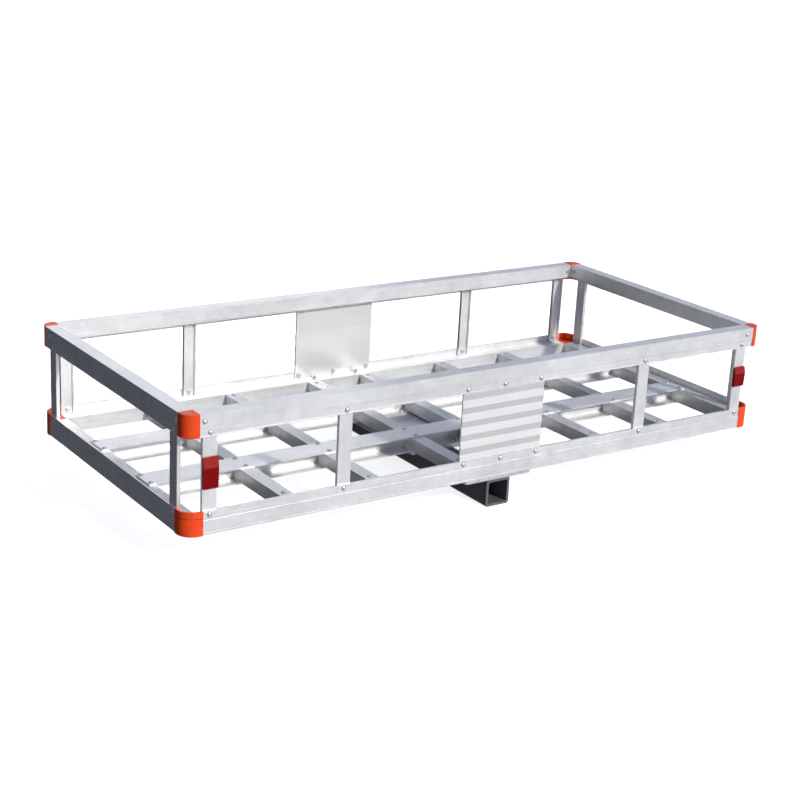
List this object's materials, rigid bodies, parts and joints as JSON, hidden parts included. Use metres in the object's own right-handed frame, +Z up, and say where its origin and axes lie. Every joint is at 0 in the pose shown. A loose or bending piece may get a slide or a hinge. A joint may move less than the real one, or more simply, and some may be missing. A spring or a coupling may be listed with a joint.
{
  "type": "hitch cargo carrier",
  "caption": "Bolted aluminium basket with open slatted floor, plastic corner caps and reflectors, carried on a square steel hitch tube behind a vehicle",
  "frame": {"origin": "centre of the hitch-pin hole, on the hitch tube's axis", "axes": "+X to the right along the basket's length, +Y towards the vehicle along the hitch tube, +Z up"},
  "size_m": [1.2506, 0.6685, 0.2608],
  "materials": {
    "rail_aluminium": "extruded mill finish, fine lengthwise grain",
    "upright_aluminium": "extruded mill finish",
    "panel_aluminium": "brushed sheet",
    "floor_aluminium": "extruded mill finish, fine lengthwise grain",
    "cap_plastic": "moulded orange-red plastic",
    "reflector_plastic": "glossy red reflector",
    "hitch_steel": "dark grey powder coat",
    "plate_steel": "zinc-plated",
    "fastener_steel": "zinc-plated"
  },
  "bodies": {
    "root": {"upper_front_rail": "rail_aluminium", "upper_back_rail": "rail_aluminium", "upper_left_rail": "rail_aluminium", "upper_right_rail": "rail_aluminium", "lower_front_rail": "rail_aluminium", "lower_back_rail": "rail_aluminium", "lower_left_rail": "rail_aluminium", "lower_right_rail": "rail_aluminium", "upper_cap_front_left": "cap_plastic", "upper_cap_front_right": "cap_plastic", "upper_cap_back_right": "cap_plastic", "upper_cap_back_left": "cap_plastic", "lower_cap_front_left": "cap_plastic", "lower_cap_front_right": "cap_plastic", "lower_cap_back_right": "cap_plastic", "lower_cap_back_left": "cap_plastic", "upright_front_1": "upright_aluminium", "upright_front_2": "upright_aluminium", "upright_front_3": "upright_aluminium", "upright_front_4": "upright_aluminium", "upright_back_1": "upright_aluminium", "upright_back_2": "upright_aluminium", "upright_back_3": "upright_aluminium", "upright_back_4": "upright_aluminium", "upright_left_front": "upright_aluminium", "upright_left_back": "upright_aluminium", "upright_right_front": "upright_aluminium", "upright_right_back": "upright_aluminium", "front_panel": "panel_aluminium", "back_panel": "panel_aluminium", "front_beam": "floor_aluminium", "back_beam": "floor_aluminium", "slat_front_1": "floor_aluminium", "slat_front_2": "floor_aluminium", "slat_front_3": "floor_aluminium", "slat_front_4": "floor_aluminium", "slat_front_5": "floor_aluminium", "slat_front_6": "floor_aluminium", "slat_middle_1": "floor_aluminium", "slat_middle_2": "floor_aluminium", "slat_middle_3": "floor_aluminium", "slat_middle_4": "floor_aluminium", "slat_middle_5": "floor_aluminium", "slat_middle_6": "floor_aluminium", "slat_back_1": "floor_aluminium", "slat_back_2": "floor_aluminium", "slat_back_3": "floor_aluminium", "slat_back_4": "floor_aluminium", "slat_back_5": "floor_aluminium", "slat_back_6": "floor_aluminium", "hitch_tube": "hitch_steel", "end_plates": "plate_steel", "middle_plate": "plate_steel", "wall_bolts": "fastener_steel", "wall_nuts": "fastener_steel", "plate_bolts": "fastener_steel", "floor_screws": "fastener_steel", "slat_clips": "plate_steel", "reflector_left": "reflector_plastic", "reflector_right": "reflector_plastic"}
  },
  "joints": []
}
